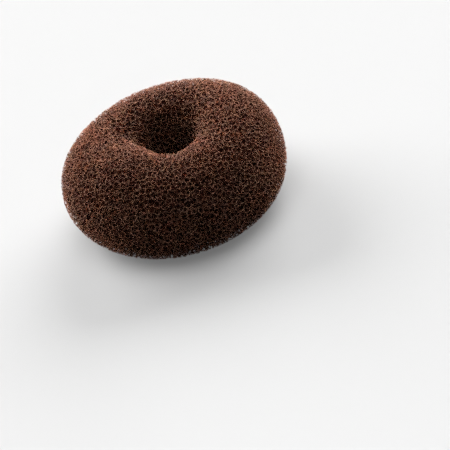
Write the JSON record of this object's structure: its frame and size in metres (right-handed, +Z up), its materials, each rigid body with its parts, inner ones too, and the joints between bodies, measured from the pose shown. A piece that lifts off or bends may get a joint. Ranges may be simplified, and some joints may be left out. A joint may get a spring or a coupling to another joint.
{
  "type": "hair donut bun maker",
  "caption": "Soft ring of open-cell mesh foam that a ponytail is pulled through and wrapped around to fill out a bun.",
  "frame": {"origin": "centre of the ring's box, on the surface that it rests on", "axes": "+Z up along the hole, -Y towards the side that the picture sees, +X to its right"},
  "size_m": [0.0904, 0.09, 0.0426],
  "materials": {
    "mesh_foam": "dark brown open-cell net foam, matt with a faint gleam on its strands"
  },
  "bodies": {
    "root": {"foam_ring": "mesh_foam"}
  },
  "joints": []
}
